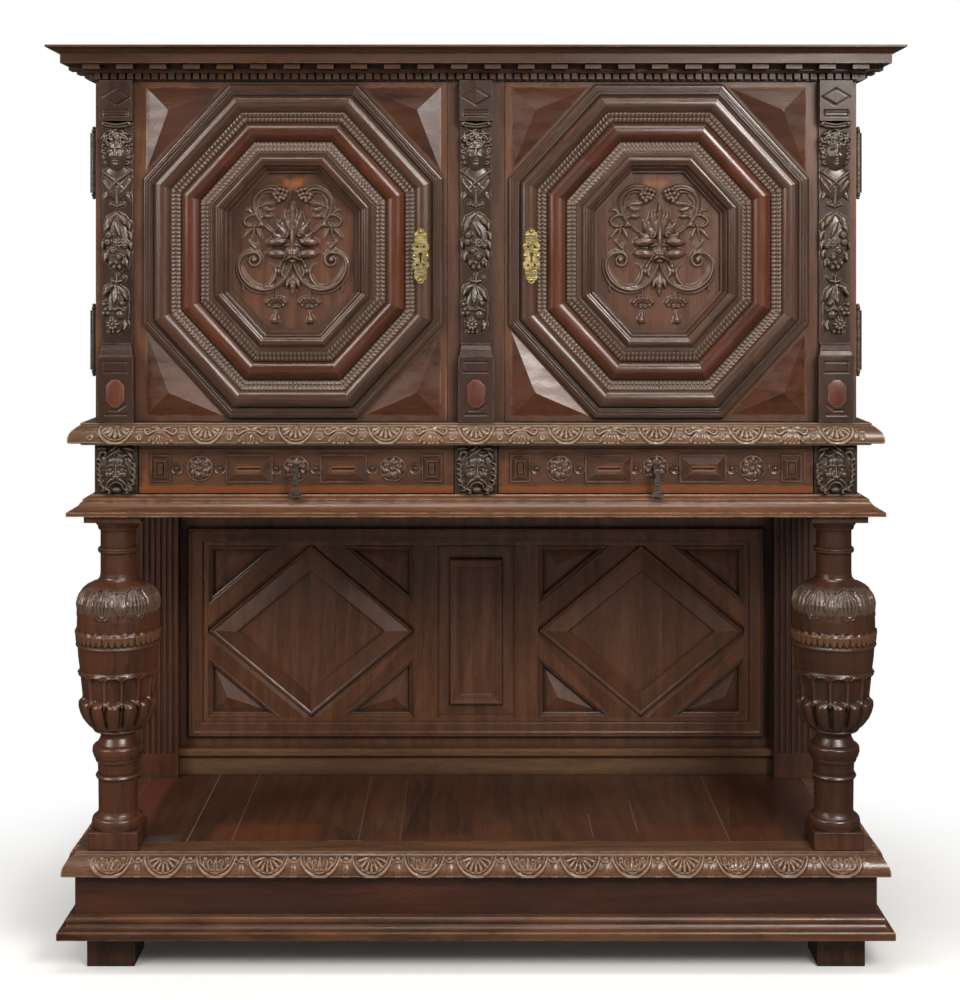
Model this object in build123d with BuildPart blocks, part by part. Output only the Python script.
from build123d import *
import math
import os

# A court cupboard in millimetres. The front faces -Y, +X is the viewer's right and +Z is up. The
# origin is on the floor, under the middle of the whole piece.

os.makedirs("parts", exist_ok=True)

# ---- Driving dimensions ----------------------------------------------------------------------
body_width = 1524.0  # over the side frames
body_depth = 500.0  # from the door faces to the wall
joint_gap = 0.4  # between pieces that only pass each other
door_gap = 1.5  # round the doors and the drawer fronts
mitre_gap = 0.3  # saw cut left at a mitre

foot_height = 73.0
foot_width = 95.0
foot_spread = 1552.0  # over the outer faces of the feet
foot_setback = 24.0  # behind the face of the riser boards

base_height = 41.0
base_band = 130.0  # how far the base moulding's boards reach under the riser
riser_height = 77.0
riser_overhang = 32.0
riser_board = 22.0
platform_height = 47.0
platform_board = 22.0  # thickness of the boards laid on the platform
platform_band = 25.0  # moulding's top face behind the body's face
platform_rebate = 30.0  # the shelf that carries the boards
board_widths = (154.0, 90.0, 255.0, 84.0, 57.0, 609.0, 71.0)  # the last board takes the rest

bay_height = 665.0  # open lower bay
column_spread = 1440.0  # between the column centres
column_setback = 21.0  # column centre behind the door faces
plinth_width = 98.0
plinth_height = 36.0
abacus_width = 113.0
abacus_height = 14.0
column_radius = 38.5

back_pilaster_width = 86.0
back_pilaster_depth = 53.0
flute_count = 6
flute_width = 8.0
flute_bottom = 55.0  # plain block under the flutes
back_board = 12.0
back_frame = 18.0
field_low = 128.0  # panelled field above the platform
field_high = 522.0
field_outer = 614.0
field_inner = 142.0
frame_foot = 60.0  # lower edge of the bottom rail above the platform
lozenge_bar = 43.0  # bars between a lozenge panel and the corner panels
bar_lip = 9.0  # sloping lip on the bars' inner edges
bar_lip_depth = 8.0
field_recess = 4.0  # panel faces behind the frame's face
lozenge_bevel = 47.0
lozenge_rise = 9.0
corner_lip = 13.0
corner_rise = 10.0
tall_panel_width = 180.0
tall_lip = 9.0
tall_border = 33.0  # from the tall panel's edge to the foot of its raised block
tall_bevel = 20.0
tall_rise = 16.0
panel_flat = 0.03  # share of a pyramid's width left flat at its top
wall_moulding_edge = 20.0  # from the pilasters to the moulding round the whole field
wall_moulding_low = 87.0
wall_moulding_high = 562.0
skirting_height = 42.0
skirting_proud = 6.0
skirting_ledge = 18.0
skirting_chamfer = 4.0

lower_moulding_height = 39.0
lower_band = 23.0
dust_board = 16.0
frieze_height = 100.0
frieze_rail = 30.0
mask_block_width = 86.0
mask_block_proud = 4.0
mask_radius = 37.0
drawer_front_thickness = 22.0
drawer_side = 10.0
drawer_bottom = 7.0
drawer_side_height = 62.0
drawer_length = 420.0
drawer_side_clearance = 3.0
runner_width = 40.0
divider_width = 20.0
plate_height = 56.0  # raised oblong plates on the drawer fronts
long_plate = 94.0
short_plate = 46.0
plate_proud = 6.0
plate_slope = 5.0
rosette_radius = 27.0
rosette_proud = 10.0
ball_radius = 8.0
boss_width = 14.0
boss_proud = 24.0
pull_length = 52.0
pull_width = 11.0
pull_foot_width = 26.0
pull_foot_height = 4.0
pull_flare = 8.0
pull_thickness = 7.0
pull_pin_radius = 2.5
pull_pin_clearance = 0.08
staple_eye = 5.0
staple_cheek = 3.0
boss_base = 12.0  # solid part of the boss behind the cheeks

ledge_moulding_height = 44.0
ledge_band = 25.0
bottom_board = 24.0
upper_height = 682.0  # between the carved ledge and the cornice
side_thickness = 30.0
stile_width = 80.0
side_rail = 90.0
panel_thickness = 12.0
panel_tongue = 8.0
shelf_thickness = 18.0
shelf_height = 325.0  # above the cupboard bottom
shelf_setback = 40.0  # behind the carcase front
upper_back = 14.0
back_boards = 4

door_thickness = 28.0
post_width = 114.0
post_depth = 60.0
door_stile = 95.5  # door's outer stile, outside the octagon
octagon_margin = 6.5  # from the door's inner edge to the octagon
octagon_rim = 5.5  # above and below the octagon
corner_across = 172.0  # cut off each corner of the octagon along its top and its foot
corner_up = 188.0  # and along its uprights
panel_hole_inset = 176.0
panel_rebate = 11.0
panel_recess = 8.0
panel_seams = (-0.42, 0.12)  # seams between a door panel's boards, as shares of its width
spandrel_margin = 5.0
spandrel_height = 15.0
spandrel_flat = 0.03  # share of the width left flat at the top

herm_block_width = 65.0
herm_block_height = 80.0
herm_block_proud = 24.0
herm_plinth_width = 70.0
herm_plinth_height = 130.0
herm_plinth_proud = 28.0
herm_base_steps = ((0.97, 25.0, 8.0), (0.93, 21.0, 9.0), (0.89, 15.0, 9.0))  # share of width, proud, height
herm_shift = 2.0  # towards the outside from the middle of the stile
herm_strip_width = 62.0
herm_strip_proud = 7.0
herm_roll_radius = 8.0
herm_head_radius = 25.0
herm_head_drop = 140.0  # head centre below the door top
bust_width = 54.0
bust_height = 46.0
bust_splay = 112.0
bust_proud = 12.0
bust_neck = 6.0  # how far the head sinks into the bust
garland_radius = 24.0
garland_end = 9.0  # radius at both ends
garland_sink = 4.0  # axis behind the strip's face
garland_foot = 14.0  # lowest garland above the base steps
lower_garland = 102.0
garland_gap = 8.0
tassel_gap = 42.0  # from the bust to the upper garland
# The relief on a door panel: (across, up, half width, half height) of each lobe from the octagon's
# middle, all made on both sides, then (half width, half height, proud) of the mask's own layers.
relief_lobes = (
    (76.0, -40.0, 36.0, 38.0),
    (84.0, 32.0, 26.0, 40.0),
    (62.0, 92.0, 28.0, 28.0),
    (30.0, 104.0, 28.0, 20.0),
    (38.0, -30.0, 26.0, 46.0),
    (33.0, -121.0, 18.0, 29.0),
    (12.0, -74.0, 14.0, 34.0),
)
relief_proud = 10.0
mask_layers = ((48.0, 70.0, 10.0), (40.0, 56.0, 18.0), (28.0, 42.0, 24.0))
mask_up = 22.0

lock_width = 90.0
lock_depth = 18.0
bolt_height = 16.0
bolt_thickness = 8.0
bolt_length = 74.0
bolt_throw = 12.0
mortise_clearance = 1.0
lock_height = 332.0  # above the cupboard bottom
escutcheon_width = 34.0
escutcheon_height = 110.0
escutcheon_thickness = 1.6
escutcheon_centre = 110.0  # from the middle of the cupboard
escutcheon_proud = 26.0  # how far its back stands before the door face
nail_radius = 3.4
nail_hole = 1.6
nail_margin = 7.0
nail_gap = 0.1  # under the nail heads
keyhole_radius = 4.0

hinge_radius = 7.5
hinge_stand_off = 8.5  # hinge centre outside the body
hinge_pin_radius = 3.5
hinge_pin_clearance = 0.06
hinge_upper = 78.0
hinge_lower = 42.0
hinge_leaf = 1.6
hinge_leaf_width = 26.0
finial_beads = ((4.0, 5.0), (10.0, 3.6))  # height and radius of each
finial_neck = 2.4
hinge_pin_end = 10.0  # solid top above a barrel's bore
hinge_levels = (145.0, 502.0)  # meeting line of each hinge's barrels above the cupboard bottom

cornice_height = 62.0
cornice_band = 62.0
cornice_rebate = 35.0
top_board = 18.0
modillion_width = 32.0
modillion_pitch = 66.0
modillion_height = 9.0
modillion_reach = 28.0
dentil_width = 11.0
dentil_pitch = 16.4
dentil_height = 11.0
dentil_reach = 9.0

# ---- Moulding outlines -----------------------------------------------------------------------
# Each step is (overhang beyond the body, height above the moulding's foot). A third number is the
# rise of an arc that ends there: above zero it bulges, below zero it is hollow.
base_outline = (
    (61, 0),
    (62, 2),
    (62, 14),
    (60, 16.5),
    (58, 17),
    (45, 26, -2.5),
    (45, 27),
    (34, 40, 6),
    (32, base_height),
)
platform_outline = (
    (34, 0),
    (35, 3),
    (53, 4),
    (55, 6),
    (55, 9),
    (36, 39, 5.5),
    (34, 40),
    (31, 43),
    (31, platform_height),
)
lower_outline = (
    (47, 0),
    (47, 8),
    (43, 10),
    (24, 25, -3),
    (20, 26),
    (20, 31),
    (7, 36, 1.5),
    (5, lower_moulding_height),
)
ledge_outline = (
    (22, 0),
    (24, 3),
    (42, 5),
    (45, 7),
    (45, 10),
    (28, 36, 5.5),
    (26, 37),
    (24, 40),
    (24, ledge_moulding_height),
)
cornice_outline = (
    (6, 0),
    (6, 13),
    (15, 14),
    (18, 18),
    (20, 18),
    (20, 28),
    (56, 29),
    (56, 48),
    (60, 49),
    (78, 58, -2.5),
    (80, 58),
    (80, cornice_height),
)
# Round the panelling: (distance in from the outer edge, height, rise), from the inner edge outwards.
wall_outline = ((31, 2), (28, 5, 1), (12, 6), (4, 13, -1.5), (0, 11, 1))
# The turned part of a column: (radius, height above the plinth).
column_outline = (
    (50, 0),
    (50.5, 20, 5),
    (44, 22),
    (40, 28, -1),
    (column_radius, 34),
    (39.5, 100),
    (44.5, 104, 1),
    (39.5, 108),
    (40.5, 132),
    (46, 140),
    (48.5, 158, 3),
    (40, 164),
    (34, 178, -2),
    (36, 184),
    (49.5, 186),
    (49.5, 191),
    (60, 204, 2.5),
    (77, 236, 5),
    (73, 246, 3),
    (71, 262),
    (74, 298),
    (76, 300),
    (76, 306),
    (80, 355),
    (84, 366),
    (84, 386),
    (81, 388),
    (80, 430),
    (83, 438),
    (81, 456, 2),
    (62, 480, 5),
    (42, 488, 1),
    (35, 496, -2),
    (35, 550),
    (40.5, 554, 1),
    (35, 558),
    (35, 597),
    (46, 612, -3),
    (46, 615),
)
# The faces of one octagon moulding: (distance in from the octagon's edge, height, rise). Each is
# drawn from its inner edge to its outer edge over the door face.
octagon_bands = {
    "outer": ((24, 7), (18, 10, 1), (6, 10), (0, 6, 1)),
    "roll": ((57, 15), (34, 24, 5), (24, 9, 4)),
    "ripple_fall": ((78, 7), (57, 15)),
    "hollow_roll": ((114, 9), (96, 19, 3), (78, 9, 3)),
    "ripple_rise": ((135, 18), (114, 8)),
    "inner": ((172, 2), (168, 14), (163, 16), (159, 26, 3), (147, 26, 3), (143, 20), (135, 20)),
}

# ---- Levels and places worked out from those -------------------------------------------------
half_body = body_width / 2
cornice_overhang = cornice_outline[-1][0]
front = (cornice_overhang - body_depth) / 2  # the door faces
wall = front + body_depth
base_foot = foot_height
riser_foot = base_foot + base_height
platform_foot = riser_foot + riser_height
platform_top = platform_foot + platform_height
lower_foot = platform_top + bay_height
frieze_foot = lower_foot + lower_moulding_height
ledge_foot = frieze_foot + frieze_height
upper_foot = ledge_foot + ledge_moulding_height
cornice_foot = upper_foot + upper_height
top = cornice_foot + cornice_height
door_back = front + door_thickness
carcase_front = door_back + 1.0
column_centre = column_spread / 2
column_y = front + column_setback
reach = half_body + cornice_overhang + 50.0  # longer than any run
sides = {"left": -1, "right": 1}

door_inner = post_width / 2 + door_gap
door_outer = half_body - door_gap
door_foot = upper_foot + door_gap
door_top = cornice_foot - door_gap
octagon_width = door_outer - door_stile - door_inner - octagon_margin
octagon_height = door_top - door_foot - 2 * octagon_rim
octagon_x = door_inner + octagon_margin + octagon_width / 2
octagon_z = (door_foot + door_top) / 2
herm_x = (octagon_x + octagon_width / 2 + half_body) / 2 + herm_shift
hinge_x = half_body + hinge_stand_off
hinge_y = (door_back + carcase_front) / 2
bolt_z = upper_foot + lock_height


def keep(piece, name):
    """Label a finished piece and write it to its own file."""
    piece.part.label = name
    export_step(piece.part, f"parts/{name}.step")


def block(x_span, y_span, z_span, mode=Mode.ADD):
    """A squared piece of wood in the part being built, between three pairs of faces."""
    middle = [(low + high) / 2 for low, high in (x_span, y_span, z_span)]
    size = [abs(high - low) for low, high in (x_span, y_span, z_span)]
    with Locations(tuple(middle)):
        Box(*size, mode=mode)


def spread(side, low, high):
    """An X span on one side of the middle."""
    return sorted((side * low, side * high))


def trace(steps, place):
    """Draw an outline's steps with place(a, b) giving sketch coordinates."""
    here = steps[0]
    for step in steps[1:]:
        if len(step) == 2:
            Line(place(*here[:2]), place(*step))
        else:
            run, climb = step[0] - here[0], step[1] - here[1]
            length = math.hypot(run, climb)
            middle = (
                (here[0] + step[0]) / 2 + step[2] * climb / length,
                (here[1] + step[1]) / 2 - step[2] * run / length,
            )
            ThreePointArc(place(*here[:2]), place(*middle), place(*step[:2]))
        here = step


def saw_cut(start, end, mode=Mode.ADD):
    """A strip as wide as a mitre's saw cut, in the sketch being drawn."""
    run, climb = end[0] - start[0], end[1] - start[1]
    middle = ((start[0] + end[0]) / 2, (start[1] + end[1]) / 2, 0)
    with Locations(Location(middle, (0, 0, math.degrees(math.atan2(climb, run))))):
        Rectangle(math.hypot(run, climb), mitre_gap, mode=mode)


def surround(outline, foot, hollows):
    """A moulding in three runs, mitred at both front corners and open at the wall.

    hollows holds (rim inside the body's face, low, high, rail): the space cut out of its middle,
    with a rail of that thickness left along the wall, or none."""
    height = outline[-1][1]
    with BuildPart() as run:
        with BuildSketch(Plane.YZ) as end_view:
            with BuildLine():
                trace(outline, lambda out, up: (front - out, foot + up))
                Polyline(
                    (front - outline[-1][0], foot + height),
                    (wall, foot + height),
                    (wall, foot),
                    (front - outline[0][0], foot),
                )
            make_face()
        extrude(amount=reach, both=True)
        with BuildSketch(Plane.XZ) as front_view:
            with BuildLine():
                trace(outline, lambda out, up: (half_body + out, foot + up))
                Polyline(
                    (half_body + outline[-1][0], foot + height),
                    (0, foot + height),
                    (0, foot),
                    (half_body + outline[0][0], foot),
                )
            make_face()
            mirror(about=Plane.YZ)
        extrude(amount=reach, both=True, mode=Mode.INTERSECT)
        for rim, low, high, rail in hollows:
            inner = half_body - rim
            back = wall - rail if rail else wall + 1
            block((-inner, inner), (front + rim, back), (foot + low, foot + high), Mode.SUBTRACT)
            if rail:
                for side in sides.values():
                    edge = spread(side, inner - joint_gap, inner)
                    block(edge, (back - 1, wall + 1), (foot - 1, foot + high), Mode.SUBTRACT)
        rim = max(hollow[0] for hollow in hollows) + 1
        out = max(step[0] for step in outline) + 1
        with BuildSketch(Plane.XY.offset(foot - 1)):
            for side in sides.values():
                saw_cut((side * (half_body - rim), front + rim), (side * (half_body + out), front - out))
        extrude(amount=height + 2, mode=Mode.SUBTRACT)
    return run


def facing(x, y, z):
    """A plane that looks forward, with its own x to the right and its own y up."""
    return Plane(origin=(x, y, z), x_dir=(1, 0, 0), z_dir=(0, -1, 0))


# ---- Base ------------------------------------------------------------------------------------
riser_face = half_body + riser_overhang
with BuildPart() as feet:
    foot_front = front - riser_overhang + foot_setback
    for side in sides.values():
        foot_x = spread(side, foot_spread / 2 - foot_width, foot_spread / 2)
        block(foot_x, (foot_front, foot_front + foot_width), (0, foot_height))
        block(foot_x, (wall - foot_width, wall), (0, foot_height))
    chamfer(feet.faces().group_by(Axis.Z)[0].edges(), 2)
keep(feet, "feet")

base_moulding = surround(base_outline, base_foot, [(base_band - riser_overhang, -1, base_height + 1, 0)])
keep(base_moulding, "base_moulding")

riser_span = (riser_foot, riser_foot + riser_height)
with BuildPart() as base_riser:
    riser_front = front - riser_overhang
    block((-riser_face, riser_face), (riser_front, riser_front + riser_board), riser_span)
    for side in sides.values():
        block(
            spread(side, riser_face - riser_board, riser_face),
            (riser_front + riser_board + joint_gap, wall),
            riser_span,
        )
    # The back board has a raised middle that carries the platform's boards.
    inside = riser_face - riser_board - joint_gap
    back_top = platform_top - platform_board
    block((-inside, inside), (wall - riser_board, wall), riser_span)
    board_edge = half_body - platform_band
    block(
        (-board_edge + platform_rebate, board_edge - platform_rebate),
        (wall - riser_board, wall),
        (riser_foot, back_top),
    )
keep(base_riser, "base_riser")

platform_moulding = surround(
    platform_outline,
    platform_foot,
    [
        (platform_band, platform_height - platform_board, platform_height + 1, 0),
        (platform_band + platform_rebate, -1, platform_height, 0),
    ],
)
with BuildPart() as platform_moulding_cut:
    add(platform_moulding.part)
    block(
        (-inside - joint_gap, inside + joint_gap),
        (wall - riser_board - joint_gap, wall + 1),
        (platform_foot - 1, back_top),
        Mode.SUBTRACT,
    )
keep(platform_moulding_cut, "platform_moulding")

with BuildPart() as platform_boards:
    board_left = -board_edge
    for width in (*board_widths, 2 * board_edge - sum(board_widths)):
        block(
            (board_left, board_left + width - joint_gap),
            (front + platform_band, wall),
            (platform_top - platform_board, platform_top),
        )
        board_left += width
keep(platform_boards, "platform_boards")

# ---- Columns ---------------------------------------------------------------------------------
shaft_foot = platform_top + plinth_height
shaft_top = lower_foot - abacus_height
shaft_scale = (shaft_top - shaft_foot) / column_outline[-1][1]
with BuildPart() as column_blocks:
    for side in sides.values():
        for width, low, high in (
            (plinth_width, platform_top, shaft_foot),
            (abacus_width, shaft_top, lower_foot),
        ):
            block(
                spread(side, column_centre - width / 2, column_centre + width / 2),
                (column_y - width / 2, column_y + width / 2),
                (low, high),
            )
keep(column_blocks, "column_blocks")


def column(side):
    """One turned column, shaft, bulb and neck in one piece."""
    axis_point = (side * column_centre, column_y, shaft_foot)
    with BuildPart() as turned:
        with BuildSketch(facing(*axis_point)):
            with BuildLine():
                trace(column_outline, lambda out, up: (out, up * shaft_scale))
                tip = column_outline[-1]
                Polyline(
                    (tip[0], tip[1] * shaft_scale),
                    (0, tip[1] * shaft_scale),
                    (0, 0),
                    (column_outline[0][0], 0),
                )
            make_face()
        revolve(axis=Axis(axis_point, (0, 0, 1)))
    return turned


for name, side in sides.items():
    keep(column(side), f"column_{name}")

# ---- Panelling at the wall -------------------------------------------------------------------
frame_front = wall - back_board - back_frame
pilaster_edge = half_body - back_pilaster_width
with BuildPart() as back_pilasters:
    pilaster_front = wall - back_board - back_pilaster_depth
    for side in sides.values():
        block(
            spread(side, pilaster_edge, half_body),
            (pilaster_front, wall - back_board),
            (platform_top, lower_foot),
        )
        middle_x = side * (half_body - back_pilaster_width / 2)
        flute_pitch = back_pilaster_width / (flute_count + 0.6)
        flute_top = lower_foot - flute_width
        with BuildSketch(facing(middle_x, pilaster_front, (platform_top + flute_bottom + flute_top) / 2)):
            with GridLocations(flute_pitch, 1, flute_count, 1):
                SlotOverall(flute_top - platform_top - flute_bottom, flute_width, rotation=90)
        extrude(amount=-flute_width / 2, mode=Mode.SUBTRACT)
keep(back_pilasters, "back_pilasters")

with BuildPart() as lower_back_boards:
    block((-half_body, half_body), (wall - back_board, wall), (platform_top, lower_foot))
keep(lower_back_boards, "lower_back_boards")

field_width = field_outer - field_inner
field_height = field_high - field_low
field_x = (field_outer + field_inner) / 2
field_z = platform_top + (field_low + field_high) / 2
tall_x = tall_panel_width / 2
field_levels = (platform_top + field_low, platform_top + field_high)
lozenge = [(-field_width / 2, 0), (0, field_height / 2), (field_width / 2, 0), (0, -field_height / 2)]


def slope(width, height):
    """The taper in degrees of a face that climbs height over width."""
    return math.degrees(math.atan2(width, height))


def inset_shape(points, plane, inset=0.0):
    """A polygon with its sides moved inwards, kept apart from the part being built."""
    with BuildSketch(plane, mode=Mode.PRIVATE) as shape:
        Polygon(*points, align=None)
        if inset:
            offset(amount=-inset, kind=Kind.INTERSECTION)
    return shape.sketch


def raised(points, plane, depth, bevel_width, bevel_height):
    """A raised panel in the part being built: a board with a bevelled field on its face."""
    outline = inset_shape(points, plane)
    extrude(outline, amount=-depth)
    extrude(outline, amount=bevel_height, taper=slope(bevel_width, bevel_height))


def lipped(points, plane, width, height):
    """A lip inside an outline that slopes down to the plane, in the part being built."""
    extrude(inset_shape(points, plane), amount=height)
    well = inset_shape(points, plane, width)
    extrude(well, amount=height, taper=-slope(width - 1, height), mode=Mode.SUBTRACT)


def run_round(origin, corners, outline):
    """A moulding mitred round a closed line of corners, the first at the left end of its foot.

    The corners are those of the moulding's inner edge, and the outline is drawn outwards."""
    deepest = outline[0][0]
    foot_z = corners[0][1]
    with BuildPart() as run:
        with BuildLine(facing(*origin)) as path:
            Polyline((0, foot_z), *corners, (0, foot_z))
        profile = Plane(
            origin=(origin[0], origin[1], origin[2] + foot_z),
            x_dir=(0, 0, -1),
            z_dir=(-1, 0, 0),
        )
        with BuildSketch(profile):
            with BuildLine():
                trace(outline, lambda inward, up: (deepest - inward, up))
                last = outline[-1]
                Polyline((deepest - last[0], last[1]), (deepest - last[0], 0), (0, 0), (0, outline[0][1]))
            make_face()
        sweep(path=path.wires()[0], transition=Transition.RIGHT)
    return run


def field_bars(side):
    """The four bars round a lozenge panel, with a sloping lip on their inner edges."""
    origin = (side * field_x, frame_front, field_z)
    with BuildPart() as bars:
        with BuildSketch(facing(*origin)):
            Polygon(*lozenge, align=None)
            offset(amount=lozenge_bar, kind=Kind.INTERSECTION)
            Rectangle(field_width - 2 * joint_gap, field_height - 2 * joint_gap, mode=Mode.INTERSECT)
            Polygon(*lozenge, align=None, mode=Mode.SUBTRACT)
            saw_cut((-field_width, 0), (field_width, 0), Mode.SUBTRACT)
            saw_cut((0, -field_height), (0, field_height), Mode.SUBTRACT)
        extrude(amount=-back_frame)
        lip = inset_shape(lozenge, facing(origin[0], frame_front + bar_lip_depth, field_z))
        extrude(lip, amount=bar_lip_depth, taper=-slope(bar_lip, bar_lip_depth), mode=Mode.SUBTRACT)
    return bars


with BuildPart() as lower_back_frame:
    rail_x = (-pilaster_edge, pilaster_edge)
    board_y = (frame_front, wall - back_board)
    block(rail_x, board_y, (platform_top + frame_foot, field_levels[0]))
    block(rail_x, board_y, (field_levels[1], lower_foot))
    upright_z = (field_levels[0] + joint_gap, field_levels[1] - joint_gap)
    for side in sides.values():
        block(spread(side, tall_x, field_inner), board_y, upright_z)
        block(spread(side, field_outer, pilaster_edge), board_y, upright_z)
        add(field_bars(side).part)
keep(lower_back_frame, "lower_back_frame")

lozenge_plate = back_frame - field_recess - lozenge_rise
plate_y = wall - back_board - lozenge_plate
lip_height = back_frame - lozenge_plate
with BuildPart() as lower_back_panels:
    clear = joint_gap
    hypotenuse = math.hypot(field_width, field_height)
    corner_reach = field_width * field_height / 2 / hypotenuse - lozenge_bar - clear
    leg_x = corner_reach * hypotenuse / field_height - clear
    leg_z = corner_reach * hypotenuse / field_width - clear
    corner_bevel = (leg_x + leg_z - math.hypot(leg_x, leg_z)) / 2 - corner_lip
    corner_bevel *= 1 - panel_flat
    for side in sides.values():
        plane = facing(side * field_x, plate_y, field_z)
        shrink = 1 - 2 * clear * hypotenuse / field_width / field_height
        diamond = [(shrink * x, shrink * z) for x, z in lozenge]
        raised(diamond, plane, lozenge_plate, lozenge_bevel, lozenge_rise)
        for across in (-1, 1):
            for up in (-1, 1):
                edge_x = across * (field_width / 2 - clear)
                edge_z = up * (field_height / 2 - clear)
                corner = [
                    (edge_x, edge_z),
                    (edge_x - across * leg_x, edge_z),
                    (edge_x, edge_z - up * leg_z),
                ]
                lipped(corner, plane, corner_lip, lip_height)
                extrude(inset_shape(corner, plane), amount=-lozenge_plate)
                pyramid = inset_shape(corner, plane, corner_lip)
                extrude(pyramid, amount=corner_rise, taper=slope(corner_bevel, corner_rise))
    tall_plane = facing(0, plate_y, field_z)
    half_w, half_h = tall_x - clear, field_height / 2 - clear
    tall = [(half_w, half_h), (-half_w, half_h), (-half_w, -half_h), (half_w, -half_h)]
    lipped(tall, tall_plane, tall_lip, lip_height)
    extrude(inset_shape(tall, tall_plane), amount=-lozenge_plate)
    rise = inset_shape(tall, tall_plane, tall_border)
    extrude(rise, amount=tall_rise, taper=slope(tall_bevel, tall_rise))
wall_half = pilaster_edge - wall_moulding_edge
wall_z = platform_top + (wall_moulding_low + wall_moulding_high) / 2
wall_tall = (wall_moulding_high - wall_moulding_low) / 2
wall_width = wall_outline[0][0]
in_x, in_z = wall_half - wall_width, wall_tall - wall_width
oblong = [(-in_x, -in_z), (-in_x, in_z), (in_x, in_z), (in_x, -in_z)]
with BuildPart() as wall_moulding:
    add(run_round((0, frame_front, wall_z), oblong, wall_outline).part)
    with BuildSketch(facing(0, frame_front, wall_z)):
        for across in (-1, 1):
            for up in (-1, 1):
                start = (across * (in_x - 1), up * (in_z - 1))
                saw_cut(start, (across * (wall_half + 1), up * (wall_tall + 1)))
    extrude(amount=max(step[1] for step in wall_outline) + 1, mode=Mode.SUBTRACT)
with BuildPart() as wall_panels:
    add(lower_back_panels.part)
    add(wall_moulding.part)
keep(wall_panels, "lower_back_panels")

with BuildPart() as lower_skirting:
    skirting_top = platform_top + skirting_height
    block(
        (-pilaster_edge, pilaster_edge),
        (frame_front - skirting_proud, wall - back_board),
        (platform_top, skirting_top),
    )
    block(
        (-pilaster_edge, pilaster_edge),
        (frame_front - skirting_ledge, wall - back_board),
        (skirting_top, platform_top + frame_foot),
    )
    chamfer(lower_skirting.edges().filter_by(Axis.X).group_by(Axis.Y)[0], skirting_chamfer)
keep(lower_skirting, "lower_skirting")

# ---- Frieze ----------------------------------------------------------------------------------
lower_moulding = surround(lower_outline, lower_foot, [(lower_band, -1, lower_moulding_height + 1, 0)])
keep(lower_moulding, "lower_moulding")

dust_top = lower_foot + dust_board
band_face = half_body - lower_band
rail_inner = half_body - frieze_rail
with BuildPart() as frieze_carcase:
    block((-band_face, band_face), (front + lower_band, wall), (lower_foot, dust_top))
    over_dust = dust_top + joint_gap
    for side in sides.values():
        block(spread(side, rail_inner, half_body), (carcase_front, wall), (frieze_foot, ledge_foot))
        block(spread(side, rail_inner, band_face), (carcase_front, wall), (over_dust, frieze_foot))
    back_rail_x = rail_inner - joint_gap
    block((-back_rail_x, back_rail_x), (wall - frieze_rail, wall), (over_dust, ledge_foot))
    block(
        (-divider_width / 2, divider_width / 2),
        (carcase_front, wall - frieze_rail - joint_gap),
        (over_dust, ledge_foot),
    )
keep(frieze_carcase, "frieze_carcase")

half_block = mask_block_width / 2
mask_z = frieze_foot + frieze_height / 2
mask_centres = (-(half_body - half_block), 0.0, half_body - half_block)
with BuildPart() as lion_blocks:
    for mask_x in mask_centres:
        block(
            (mask_x - half_block, mask_x + half_block),
            (front - mask_block_proud, carcase_front),
            (frieze_foot, ledge_foot),
        )
        with Locations((mask_x, front - mask_block_proud + mask_radius * 0.45, mask_z)):
            Sphere(mask_radius)
    block((-reach, reach), (carcase_front, wall), (frieze_foot, ledge_foot), Mode.SUBTRACT)
keep(lion_blocks, "lion_blocks")

drawer_low = frieze_foot + door_gap
drawer_high = ledge_foot - door_gap
drawer_inner = half_block + door_gap
drawer_outer = half_body - mask_block_width - door_gap
drawer_x = (drawer_inner + drawer_outer) / 2
drawer_back_face = front + drawer_front_thickness
drawer_end = front + drawer_length
boss_y = front - rosette_proud
staple_y = boss_y - boss_proud + staple_eye

with BuildPart() as drawer_runners:
    for side in sides.values():
        for middle in (drawer_inner + runner_width / 2, drawer_outer - runner_width / 2):
            span = spread(side, middle - runner_width / 2, middle + runner_width / 2)
            block(span, (carcase_front, wall - frieze_rail), (dust_top, drawer_low))
keep(drawer_runners, "drawer_runners")

# Ornaments along a drawer front, from its middle outwards: plates, balls and rosettes.
plate_offset = 94.0
outer_plate_offset = 264.0
ball_offsets = (39.0, 150.0, 236.0)
rosette_offsets = (0.0, 193.0)


def drawer_front(side):
    """A drawer front with its raised plates, turned balls and round rosettes."""
    centre = side * drawer_x
    with BuildPart() as board:
        block(
            spread(side, drawer_inner, drawer_outer),
            (front, drawer_back_face),
            (drawer_low, drawer_high),
        )
        plane = facing(centre, front, mask_z)
        for length, offset_x in ((long_plate, plate_offset), (short_plate, outer_plate_offset)):
            for across in (-1, 1):
                x = across * offset_x
                half, rise_z = length / 2, plate_height / 2
                corners = [(x + half, rise_z), (x - half, rise_z), (x - half, -rise_z), (x + half, -rise_z)]
                raised(corners, plane, 1, plate_slope, plate_proud)
        for offset_x in rosette_offsets:
            for across in {-1, 1} if offset_x else {1}:
                with Locations(plane.location * Location((across * offset_x, 0, 0))):
                    Cylinder(
                        rosette_radius,
                        rosette_proud,
                        align=(Align.CENTER, Align.CENTER, Align.MIN),
                    )
        for offset_x in ball_offsets:
            for across in (-1, 1):
                with Locations(plane.location * Location((across * offset_x, 0, 0))):
                    Sphere(ball_radius)
    return board


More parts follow.
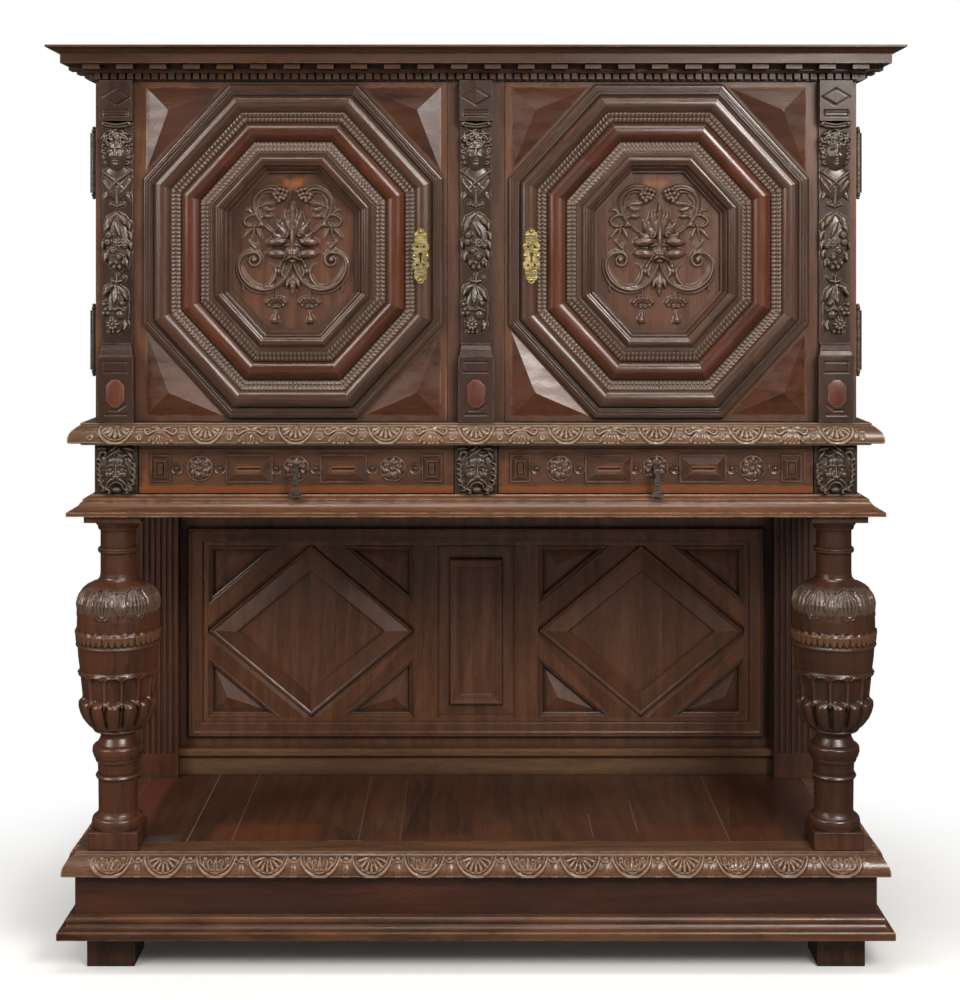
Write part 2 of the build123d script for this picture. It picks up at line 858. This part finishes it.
def drawer_box(side):
    """Drawer sides, back and bottom as four boards."""
    span = spread(side, drawer_inner + drawer_side_clearance, drawer_outer - drawer_side_clearance)
    low = drawer_low + joint_gap
    high = low + drawer_side_height
    floor_top = low + drawer_bottom
    walls = (floor_top + joint_gap, high)
    with BuildPart() as box:
        block((span[0], span[0] + drawer_side), (drawer_back_face, drawer_end), walls)
        block((span[1] - drawer_side, span[1]), (drawer_back_face, drawer_end), walls)
        block(
            (span[0] + drawer_side + joint_gap, span[1] - drawer_side - joint_gap),
            (drawer_end - drawer_side, drawer_end),
            walls,
        )
        block(span, (drawer_back_face, drawer_end), (low, floor_top))
    return box


def pull_boss(side):
    """The square boss on the middle rosette, with the two cheeks and pin that carry the pull."""
    centre = side * drawer_x
    half = boss_width / 2
    with BuildPart() as boss:
        block(
            (centre - half, centre + half),
            (boss_y - boss_base, boss_y),
            (mask_z - half, mask_z + half),
        )
        for across in (-1, 1):
            block(
                sorted((centre + across * half, centre + across * (half - staple_cheek))),
                (staple_y - staple_eye, boss_y),
                (mask_z - staple_eye, mask_z + staple_eye),
            )
        with Locations(Location((centre, staple_y, mask_z), (0, 90, 0))):
            Cylinder(pull_pin_radius, boss_width)
    return boss


def drawer_pull(side):
    """The iron drop that hangs from the pin and flares at its foot."""
    centre = side * drawer_x
    eye_width = boss_width - 2 * staple_cheek - 2 * joint_gap
    with BuildPart() as pull:
        with Locations(Location((centre, staple_y, mask_z), (0, 90, 0))):
            Cylinder(staple_eye - joint_gap, eye_width)
        with BuildSketch(facing(centre, staple_y - pull_thickness / 2, mask_z)):
            with BuildLine():
                half_eye, half_bar, half_foot = eye_width / 2, pull_width / 2, pull_foot_width / 2
                Polyline(
                    (0, 0),
                    (half_eye, 0),
                    (half_eye, -boss_width),
                    (half_bar, -boss_width - 3),
                    (half_bar, -pull_length + pull_foot_height + pull_flare),
                    (half_foot, -pull_length + pull_foot_height),
                    (half_foot, -pull_length),
                    (0, -pull_length),
                    (0, 0),
                )
            make_face()
            mirror(about=Plane.YZ)
        extrude(amount=-pull_thickness)
        with Locations(Location((centre, staple_y, mask_z), (0, 90, 0))):
            Cylinder(pull_pin_radius + pull_pin_clearance, boss_width, mode=Mode.SUBTRACT)
    return pull


for name, side in sides.items():
    keep(drawer_front(side), f"drawer_front_{name}")
    keep(drawer_box(side), f"drawer_box_{name}")
    keep(pull_boss(side), f"pull_boss_{name}")
    keep(drawer_pull(side), f"drawer_pull_{name}")

# ---- Cupboard carcase ------------------------------------------------------------------------
bottom_under = ledge_moulding_height - bottom_board
carved_ledge = surround(
    ledge_outline,
    ledge_foot,
    [
        (ledge_band, -1, bottom_under, frieze_rail),
        (ledge_band, bottom_under, ledge_moulding_height + 1, 0),
    ],
)
keep(carved_ledge, "carved_ledge")

ledge_face = half_body - ledge_band
with BuildPart() as cupboard_bottom:
    block((-ledge_face, ledge_face), (front + ledge_band, wall), (upper_foot - bottom_board, upper_foot))
keep(cupboard_bottom, "cupboard_bottom")

side_inner = half_body - side_thickness
window_y = (carcase_front + stile_width, wall - stile_width)
middle_z = (upper_foot + cornice_foot) / 2
windows = (
    (upper_foot + side_rail, middle_z - side_rail / 2),
    (middle_z + side_rail / 2, cornice_foot - side_rail),
)
panel_x = half_body - side_thickness / 2


def side_panel(side, low, high):
    """One thin panel with tongues all round."""
    tongue = panel_tongue - joint_gap
    block(
        spread(side, panel_x - panel_thickness / 2, panel_x + panel_thickness / 2),
        (window_y[0] - tongue, window_y[1] + tongue),
        (low - tongue, high + tongue),
    )


with BuildPart() as side_panels:
    for side in sides.values():
        for low, high in windows:
            side_panel(side, low, high)
keep(side_panels, "side_panels")

with BuildPart() as side_frames:
    for side in sides.values():
        span = spread(side, side_inner, half_body)
        block(span, (carcase_front, window_y[0]), (upper_foot, cornice_foot))
        block(span, (window_y[1], wall), (upper_foot, cornice_foot))
        rail_y = (window_y[0] + joint_gap, window_y[1] - joint_gap)
        block(span, rail_y, (upper_foot, windows[0][0]))
        block(span, rail_y, (windows[0][1], windows[1][0]))
        block(span, rail_y, (windows[1][1], cornice_foot))
        for low, high in windows:
            block(
                spread(side, panel_x - panel_thickness / 2, panel_x + panel_thickness / 2),
                (window_y[0] - panel_tongue, window_y[1] + panel_tongue),
                (low - panel_tongue, high + panel_tongue),
                Mode.SUBTRACT,
            )
        for level in hinge_levels:
            block(
                spread(side, half_body - hinge_leaf_width, half_body + 1),
                (carcase_front - 1, carcase_front + hinge_leaf),
                (upper_foot + level - hinge_lower, upper_foot + level),
                Mode.SUBTRACT,
            )
keep(side_frames, "side_frames")

with BuildPart() as cupboard_back:
    pitch = 2 * side_inner / back_boards
    for count in range(back_boards):
        left_edge = -side_inner + count * pitch
        block(
            (left_edge, left_edge + pitch - joint_gap),
            (wall - upper_back, wall),
            (upper_foot, cornice_foot),
        )
keep(cupboard_back, "cupboard_back")

shelf_low = upper_foot + shelf_height
with BuildPart() as cupboard_shelf:
    block(
        (-side_inner, side_inner),
        (carcase_front + shelf_setback, wall - upper_back),
        (shelf_low, shelf_low + shelf_thickness),
    )
keep(cupboard_shelf, "cupboard_shelf")

with BuildPart() as centre_post:
    block((-post_width / 2, post_width / 2), (front, front + post_depth), (upper_foot, cornice_foot))
    bolt_y = door_back + lock_depth / 2
    for side in sides.values():
        block(
            spread(side, post_width / 2 - bolt_throw - 2, post_width / 2 + 1),
            (
                bolt_y - bolt_thickness / 2 - mortise_clearance,
                bolt_y + bolt_thickness / 2 + mortise_clearance,
            ),
            (
                bolt_z - bolt_height / 2 - mortise_clearance,
                bolt_z + bolt_height / 2 + mortise_clearance,
            ),
            Mode.SUBTRACT,
        )
keep(centre_post, "centre_post")


def herm(x):
    """A pilaster on the door faces: plinth, base steps, strip, garlands, bust, head and top block."""
    block_foot = door_top - herm_block_height
    plinth_top = door_foot + herm_plinth_height
    strip_face = front - herm_strip_proud
    head_z = door_top - herm_head_drop
    bust_top = head_z - herm_head_radius + bust_neck
    with BuildPart() as pilaster:
        half = herm_plinth_width / 2
        block((x - half, x + half), (front - herm_plinth_proud, front), (door_foot, plinth_top))
        base_top = plinth_top
        for share, proud, height in herm_base_steps:
            half = share * herm_plinth_width / 2
            block((x - half, x + half), (front - proud, front), (base_top, base_top + height))
            base_top += height
        half = herm_strip_width / 2
        block((x - half, x + half), (strip_face, front), (base_top, block_foot))
        half = herm_block_width / 2
        block((x - half, x + half), (front - herm_block_proud, front), (block_foot, door_top))
        with Locations(Location((x, front - herm_block_proud + herm_roll_radius, block_foot), (0, 90, 0))):
            Cylinder(herm_roll_radius, herm_block_width - herm_roll_radius)
        with Locations((x, strip_face, head_z)):
            Sphere(herm_head_radius)
        with BuildSketch(facing(x, strip_face, bust_top)):
            Trapezoid(bust_width, bust_height, bust_splay, rotation=180, align=(Align.CENTER, Align.MIN))
        extrude(amount=bust_proud)
        lower_foot_z = base_top + garland_foot
        lower_top_z = lower_foot_z + lower_garland
        upper_top_z = bust_top - bust_height - tassel_gap
        for low, high in ((lower_foot_z, lower_top_z), (lower_top_z + garland_gap, upper_top_z)):
            axis_point = (x, strip_face + garland_sink, low)
            with BuildSketch(facing(*axis_point)):
                with BuildLine():
                    swell = garland_radius - garland_end
                    trace(((garland_end, 0), (garland_end, high - low, swell)), lambda out, up: (out, up))
                    Polyline((garland_end, high - low), (0, high - low), (0, 0), (garland_end, 0))
                make_face()
            revolve(axis=Axis(axis_point, (0, 0, 1)))
        behind = (front, front + 2 * garland_radius)
        block((x - herm_plinth_width, x + herm_plinth_width), behind, (door_foot, door_top), Mode.SUBTRACT)
    return pilaster


keep(herm(0.0), "centre_pilaster")

# ---- Doors -----------------------------------------------------------------------------------

def octagon(inset):
    """The eight corners of a door's octagon after an even inset, from its own middle."""
    half_w, half_h = octagon_width / 2, octagon_height / 2
    slant = math.hypot(corner_across, corner_up)
    reach_out = ((half_w - corner_across) * corner_up + half_h * corner_across) / slant - inset
    wide, tall = half_w - inset, half_h - inset
    flat_x = (reach_out * slant - tall * corner_across) / corner_up
    flat_z = (reach_out * slant - wide * corner_up) / corner_across
    quarter = [(flat_x, tall), (wide, flat_z)]
    right = quarter + [(x, -z) for x, z in reversed(quarter)]
    return right + [(-x, z) for x, z in reversed(right)]


def octagon_runs(centre, bands):
    """Mouldings round the octagon on the door face, each cut at its eight mitres."""
    origin = (centre, front, octagon_z)
    deepest = max(octagon_bands[band][0][0] for band in bands)
    tallest = max(step[1] for band in bands for step in octagon_bands[band])
    with BuildPart() as runs:
        for band in bands:
            corners = octagon(octagon_bands[band][0][0])
            add(run_round(origin, corners[4:] + corners[:4], octagon_bands[band]).part)
        with BuildSketch(facing(*origin)):
            for outer, inner in zip(octagon(-1), octagon(deepest + 1)):
                saw_cut(outer, inner)
        extrude(amount=2 * tallest, mode=Mode.SUBTRACT)
    return runs


def door_frame(side):
    """The door's board frame, rebated from behind for its panel and let in for lock and hinges."""
    centre = side * octagon_x
    with BuildPart() as frame:
        block(spread(side, door_inner, door_outer), (front, door_back), (door_foot, door_top))
        with BuildSketch(facing(centre, front, octagon_z)):
            Polygon(*octagon(panel_hole_inset), align=None)
        extrude(amount=-door_thickness, mode=Mode.SUBTRACT)
        with BuildSketch(facing(centre, front + panel_recess, octagon_z)):
            Polygon(*octagon(panel_hole_inset - panel_rebate), align=None)
        extrude(amount=panel_recess - door_thickness, mode=Mode.SUBTRACT)
        for level in hinge_levels:
            block(
                spread(side, half_body - hinge_leaf_width, half_body + 1),
                (door_back - hinge_leaf, door_back + 1),
                (upper_foot + level, upper_foot + level + hinge_upper),
                Mode.SUBTRACT,
            )
    return frame


def door_panel(side):
    """Upright boards that fill the door's opening."""
    centre = side * octagon_x
    half = octagon_width / 2
    edges = [-half, *(seam * (octagon_width - 2 * panel_hole_inset) for seam in panel_seams), half]
    with BuildPart() as panel:
        for low, high in zip(edges, edges[1:]):
            with BuildSketch(facing(centre, front + panel_recess, octagon_z)):
                Polygon(*octagon(panel_hole_inset - panel_rebate + joint_gap), align=None)
                with Locations(((low + high) / 2, 0)):
                    Rectangle(high - low - joint_gap, octagon_height, mode=Mode.INTERSECT)
            extrude(amount=-panel_thickness)
    return panel


def spandrels(side):
    """Four three-sided pyramids in the corners between the octagon and the door's edges."""
    leg_x, leg_z = corner_across, corner_up
    slant = math.hypot(leg_x, leg_z)
    trim_x = spandrel_margin * (1 + slant / leg_z + leg_x / leg_z)
    trim_z = spandrel_margin * (1 + slant / leg_x + leg_z / leg_x)
    base_x, base_z = leg_x - trim_x, leg_z - trim_z
    inner_radius = (base_x + base_z - math.hypot(base_x, base_z)) / 2
    taper = slope(inner_radius * (1 - spandrel_flat), spandrel_height)
    with BuildPart() as blocks:
        for across in (-1, 1):
            for up in (-1, 1):
                tip_x = across * (octagon_width / 2 - spandrel_margin)
                tip_z = up * (octagon_height / 2 - spandrel_margin)
                with BuildSketch(facing(side * octagon_x, front, octagon_z)):
                    Polygon(
                        (tip_x, tip_z),
                        (tip_x - across * base_x, tip_z),
                        (tip_x, tip_z - up * base_z),
                        align=None,
                    )
                extrude(amount=spandrel_height, taper=taper)
    return blocks


def mask_carving(side):
    """The carved relief on the panel: a leafy mask between scrolls, fruit above and drops below."""
    plane = facing(side * octagon_x, front + panel_recess, octagon_z)
    with BuildPart() as relief:
        with BuildSketch(plane):
            for across, up, half_w, half_h in relief_lobes:
                with Locations((across, up), (-across, up)):
                    Ellipse(half_w, half_h)
        extrude(amount=relief_proud)
        for half_w, half_h, proud in mask_layers:
            with BuildSketch(plane):
                with Locations((0, mask_up)):
                    Ellipse(half_w, half_h)
            extrude(amount=proud)
    return relief


def escutcheon(side):
    """A pierced brass plate with a keyhole, and the four nails that hold it."""
    plane = facing(side * escutcheon_centre, front - escutcheon_proud, bolt_z)
    nail_z = escutcheon_height / 2 - nail_margin
    nail_x = escutcheon_width / 2 - nail_radius - 1
    lobe = escutcheon_width / 2
    nail_places = ((0, nail_z), (0, -nail_z), (nail_x, 0), (-nail_x, 0))
    with BuildPart() as plate:
        with BuildSketch(plane):
            RectangleRounded(escutcheon_width * 0.7, escutcheon_height - 12, 7)
            with Locations((0, nail_z), (0, -nail_z)):
                Circle(nail_margin)
            with GridLocations(escutcheon_width - 18, 36, 2, 2):
                Circle(9)
            with Locations((0, 0)):
                Ellipse(lobe, 11)
            with GridLocations(13, 36, 2, 2):
                Circle(2.6, mode=Mode.SUBTRACT)
            with Locations((0, 3)):
                Circle(keyhole_radius, mode=Mode.SUBTRACT)
            with Locations((0, -6)):
                Rectangle(4, 14, mode=Mode.SUBTRACT)
            with Locations(*nail_places):
                Circle(nail_hole, mode=Mode.SUBTRACT)
        extrude(amount=escutcheon_thickness)
    with BuildPart() as nails:
        for x, z in nail_places:
            with Locations(plane.location * Location((x, z, escutcheon_thickness + nail_gap))):
                Sphere(nail_radius)
        block(
            spread(side, escutcheon_centre - escutcheon_height, escutcheon_centre + escutcheon_height),
            (front - escutcheon_proud - escutcheon_thickness - nail_gap, front),
            (bolt_z - escutcheon_height, bolt_z + escutcheon_height),
            Mode.SUBTRACT,
        )
    with BuildPart() as both:
        add(plate.part)
        add(nails.part)
    return both


def lock_case(side):
    """The lock's case on the back of the door, hollow for the bolt."""
    low_x = door_inner + joint_gap
    with BuildPart() as case:
        block(
            spread(side, low_x, low_x + lock_width),
            (door_back, door_back + lock_depth),
            (bolt_z - lock_width / 2, bolt_z + lock_width / 2),
        )
        block(
            spread(side, low_x - 1, low_x + bolt_length + 4),
            (bolt_y - bolt_thickness / 2 - joint_gap, bolt_y + bolt_thickness / 2 + joint_gap),
            (bolt_z - bolt_height / 2 - joint_gap, bolt_z + bolt_height / 2 + joint_gap),
            Mode.SUBTRACT,
        )
    return case


def lock_bolt(side):
    """The bolt, drawn back flush with the end of its case."""
    low_x = door_inner + joint_gap
    with BuildPart() as bolt:
        block(
            spread(side, low_x, low_x + bolt_length),
            (bolt_y - bolt_thickness / 2, bolt_y + bolt_thickness / 2),
            (bolt_z - bolt_height / 2, bolt_z + bolt_height / 2),
        )
    return bolt


def finial(x, z, up):
    """A turned finial on a hinge barrel, pointing up or down."""
    for rise, radius in finial_beads:
        with Locations((x, hinge_y, z + up * rise)):
            Sphere(radius)
        with Locations((x, hinge_y, z + up * rise / 2)):
            Cylinder(finial_neck, rise)


def barrel(side, low, high, leaf_y):
    """A hinge barrel and its leaf, let into the wood beside it."""
    x = side * hinge_x
    with Locations((x, hinge_y, (low + high) / 2)):
        Cylinder(hinge_radius, high - low)
    block(spread(side, half_body - hinge_leaf_width + joint_gap, hinge_x), leaf_y, (low, high))


def door_hinges(side):
    """The upper barrels, which turn with the door on the pins."""
    x = side * hinge_x
    with BuildPart() as uppers:
        for level in hinge_levels:
            low = upper_foot + level + joint_gap
            high = upper_foot + level + hinge_upper
            barrel(side, low, high, (door_back - hinge_leaf, door_back))
            finial(x, high, 1)
            bore_top = high - hinge_pin_end
            with Locations((x, hinge_y, (low + bore_top) / 2)):
                Cylinder(hinge_pin_radius + hinge_pin_clearance, bore_top - low, mode=Mode.SUBTRACT)
    return uppers


with BuildPart() as hinge_posts:
    for side in sides.values():
        x = side * hinge_x
        for level in hinge_levels:
            high = upper_foot + level
            low = high - hinge_lower
            barrel(side, low, high, (carcase_front, carcase_front + hinge_leaf))
            finial(x, low, -1)
            pin_top = high + hinge_upper - hinge_pin_end - 2
            with Locations((x, hinge_y, (low + pin_top) / 2)):
                Cylinder(hinge_pin_radius, pin_top - low)
keep(hinge_posts, "hinge_posts")

for name, side in sides.items():
    keep(door_frame(side), f"door_frame_{name}")
    keep(door_panel(side), f"door_panel_{name}")
    broad_bands = ("outer", "roll", "hollow_roll", "inner")
    keep(octagon_runs(side * octagon_x, broad_bands), f"octagon_moulding_{name}")
    keep(octagon_runs(side * octagon_x, ("ripple_fall", "ripple_rise")), f"ripple_moulding_{name}")
    keep(spandrels(side), f"spandrels_{name}")
    keep(mask_carving(side), f"mask_carving_{name}")
    keep(herm(side * herm_x), f"door_pilaster_{name}")
    keep(escutcheon(side), f"escutcheon_{name}")
    keep(lock_case(side), f"lock_case_{name}")
    keep(lock_bolt(side), f"lock_bolt_{name}")
    keep(door_hinges(side), f"door_hinges_{name}")

# ---- Cornice ---------------------------------------------------------------------------------
cornice = surround(
    cornice_outline,
    cornice_foot,
    [
        (cornice_band, -1, cornice_height - top_board, upper_back),
        (cornice_rebate, cornice_height - top_board, cornice_height + 1, 0),
    ],
)
keep(cornice, "cornice")

with BuildPart() as top_boards:
    inner = half_body - cornice_rebate
    block((-inner, inner), (front + cornice_rebate, wall), (top - top_board, top))
keep(top_boards, "top_boards")


def row_of_blocks(pitch, width, low, high, backing, block_reach):
    """Small blocks along the front and both ends of the cornice, in the part being built."""
    face = half_body + backing
    front_face = front - backing
    middle_z = (low + high) / 2
    count = int((2 * face - width) / pitch)
    along = [(place - count / 2) * pitch for place in range(count + 1)]
    with Locations(*[(x, front_face - block_reach / 2, middle_z) for x in along]):
        Box(width, block_reach, high - low)
    end_count = int((wall - front_face - width) / pitch)
    back_along = [front_face + width / 2 + place * pitch for place in range(end_count + 1)]
    end_x = face + block_reach / 2
    with Locations(*[(side * end_x, y, middle_z) for side in sides.values() for y in back_along]):
        Box(block_reach, width, high - low)


with BuildPart() as modillions:
    face_overhang, face_top = cornice_outline[5]
    high = cornice_foot + face_top
    low = high - modillion_height
    row_of_blocks(modillion_pitch, modillion_width, low, high, face_overhang, modillion_reach)
keep(modillions, "modillions")

with BuildPart() as dentils:
    face_overhang, face_top = cornice_outline[1]
    low = cornice_foot + face_top - dentil_height
    row_of_blocks(dentil_pitch, dentil_width, low, low + dentil_height, face_overhang, dentil_reach)
keep(dentils, "dentils")
